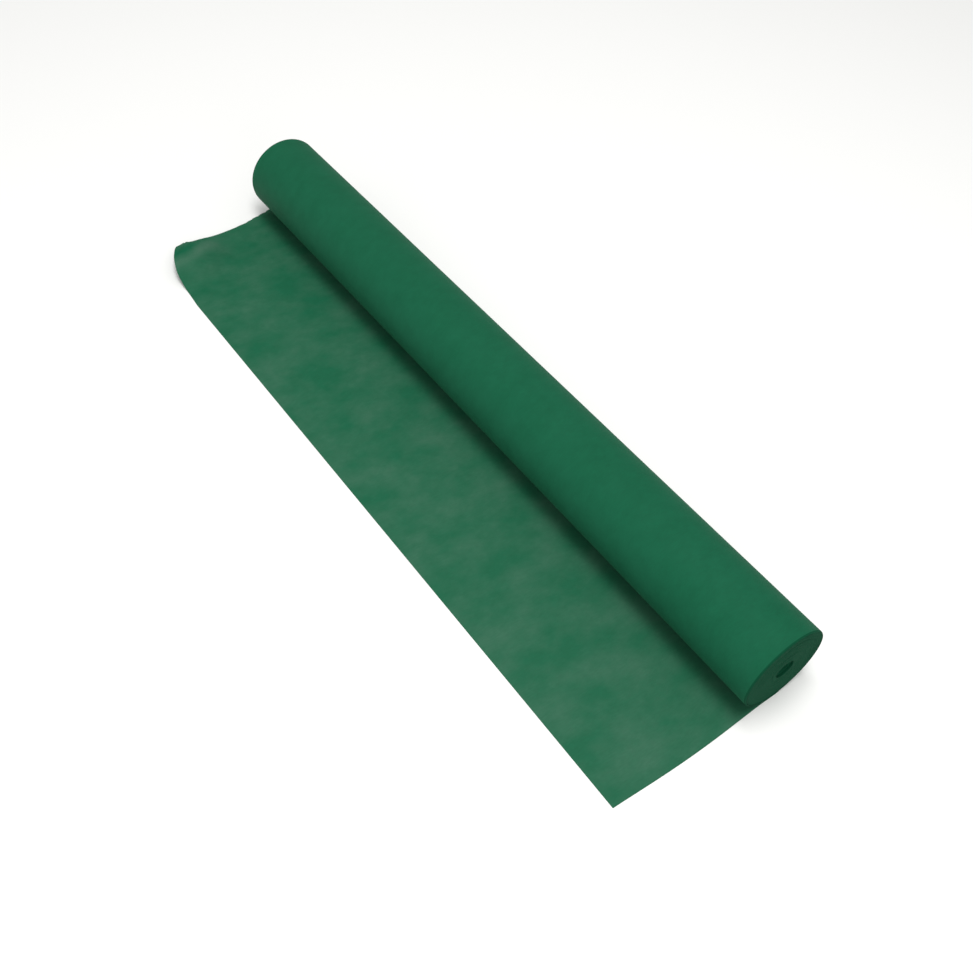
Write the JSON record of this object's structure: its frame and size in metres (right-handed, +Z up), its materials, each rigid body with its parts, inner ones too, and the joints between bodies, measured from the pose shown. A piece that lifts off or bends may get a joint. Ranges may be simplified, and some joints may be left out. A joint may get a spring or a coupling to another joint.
{
  "type": "backdrop roll",
  "caption": "Sheet backdrop material wound on an open paperboard core, with a short leaf laid out flat beside the roll.",
  "frame": {"origin": "on the core's axis, half way between its ends", "axes": "+Y along the core, +Z up, the leaf laid out towards -X"},
  "size_m": [0.361, 1.35, 0.1427],
  "materials": {
    "web": "matt spunbond sheet, deep green",
    "core_board": "uncoated paperboard",
    "tape": "double-sided tissue tape"
  },
  "bodies": {
    "leaf": {"free_leaf": "web"},
    "rolling_line": {"lead_in": "web"},
    "roll": {"wound_web": "web", "core_inner_ply": "core_board", "core_outer_ply": "core_board", "start_tape": "tape"}
  },
  "joints": [
    {"name": "roll_travel", "type": "slide", "parent": "leaf", "child": "rolling_line", "axis": [-1, 0, 0], "range_m": [0, 0.21], "deforming": ["free_leaf"]},
    {"name": "roll_turn", "type": "hinge", "parent": "rolling_line", "child": "roll", "pos_m": [0, 0, 0], "axis": [0, 1, 0], "range_deg": [-170, 0]}
  ],
  "couplings": [
    {"joint": "roll_turn", "follows": "roll_travel", "rad_per_m": -14.085}
  ]
}
